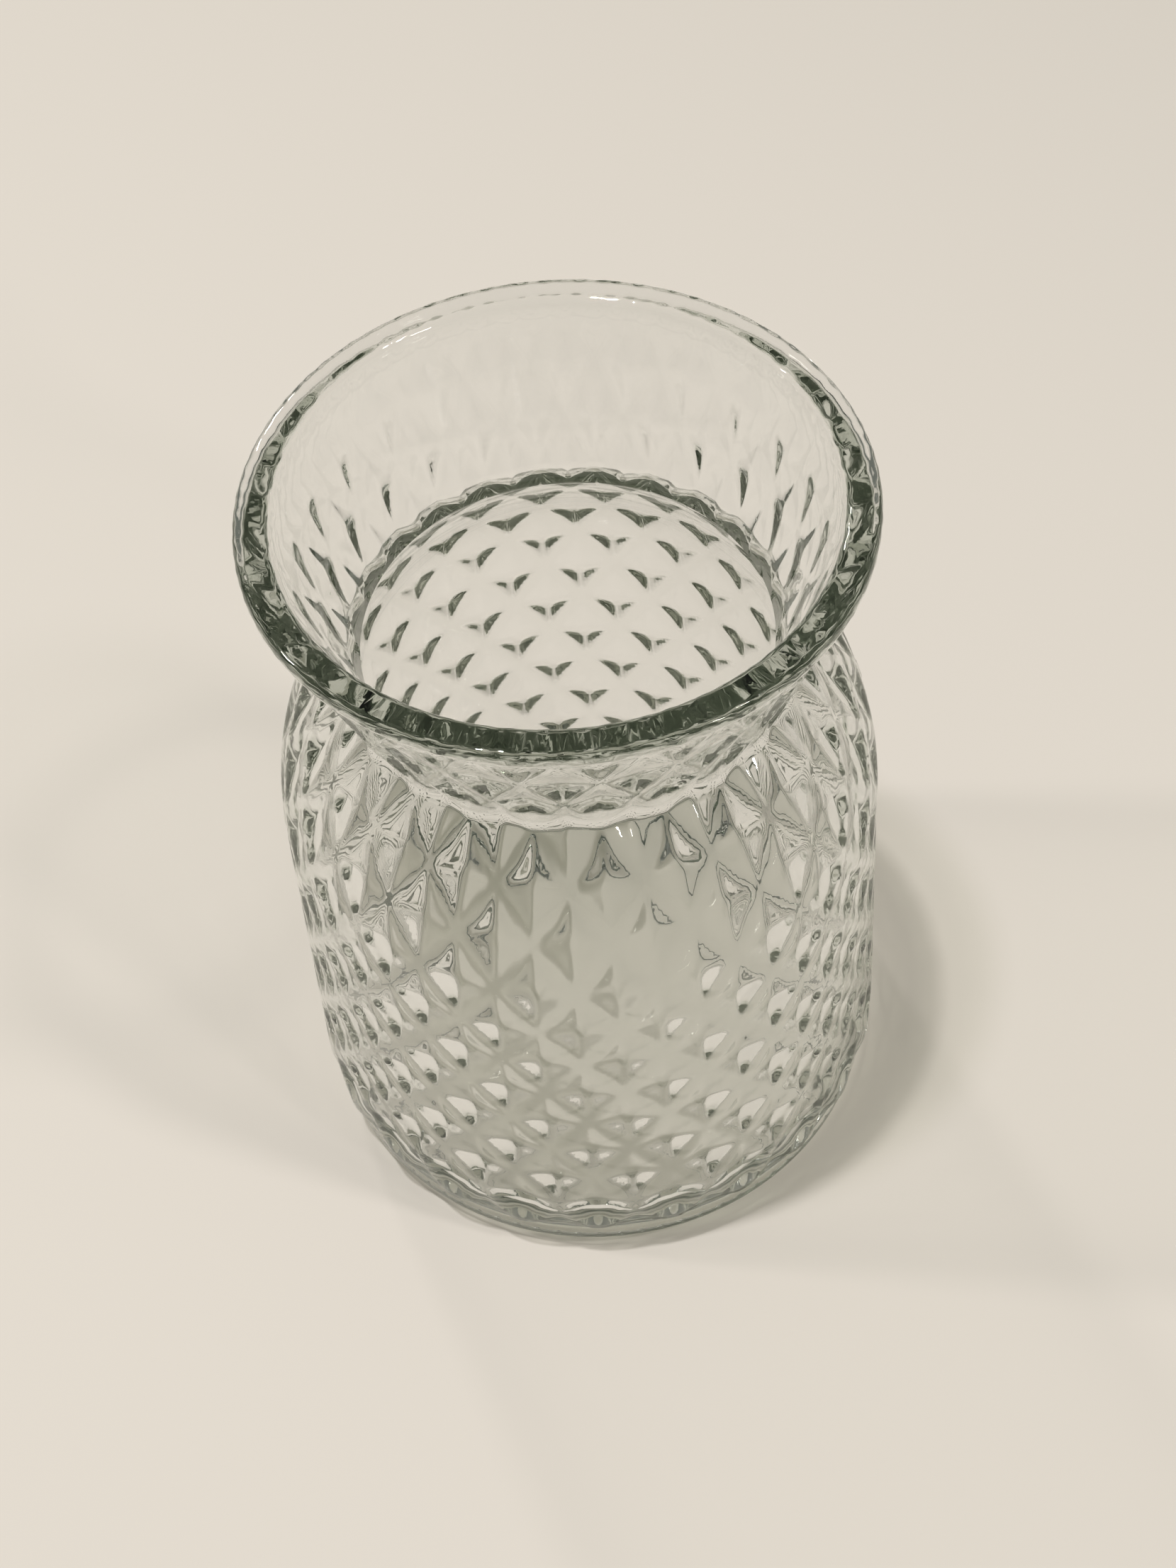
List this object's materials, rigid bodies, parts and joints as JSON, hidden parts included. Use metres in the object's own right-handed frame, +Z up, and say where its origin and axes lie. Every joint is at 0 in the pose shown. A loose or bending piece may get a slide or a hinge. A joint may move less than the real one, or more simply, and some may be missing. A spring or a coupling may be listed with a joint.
{
  "type": "glass candle jar",
  "caption": "Empty clear pressed-glass candle jar with a flared mouth, waisted neck, diamond-patterned wall and closed base, standing on a flat foot ring.",
  "frame": {"origin": "centre of the circle that the jar stands on", "axes": "+Z up along the jar's axis, from the foot to the mouth; -Y is the side that faces a viewer"},
  "size_m": [0.11, 0.11, 0.151],
  "materials": {
    "clear_glass": "clear soda-lime glass, pressed, fire polished"
  },
  "bodies": {
    "root": {"rim_lip": "clear_glass", "flared_collar": "clear_glass", "shoulder": "clear_glass", "diamond_wall": "clear_glass", "heel": "clear_glass", "base_floor": "clear_glass", "bearing_pads": "clear_glass"}
  },
  "joints": []
}
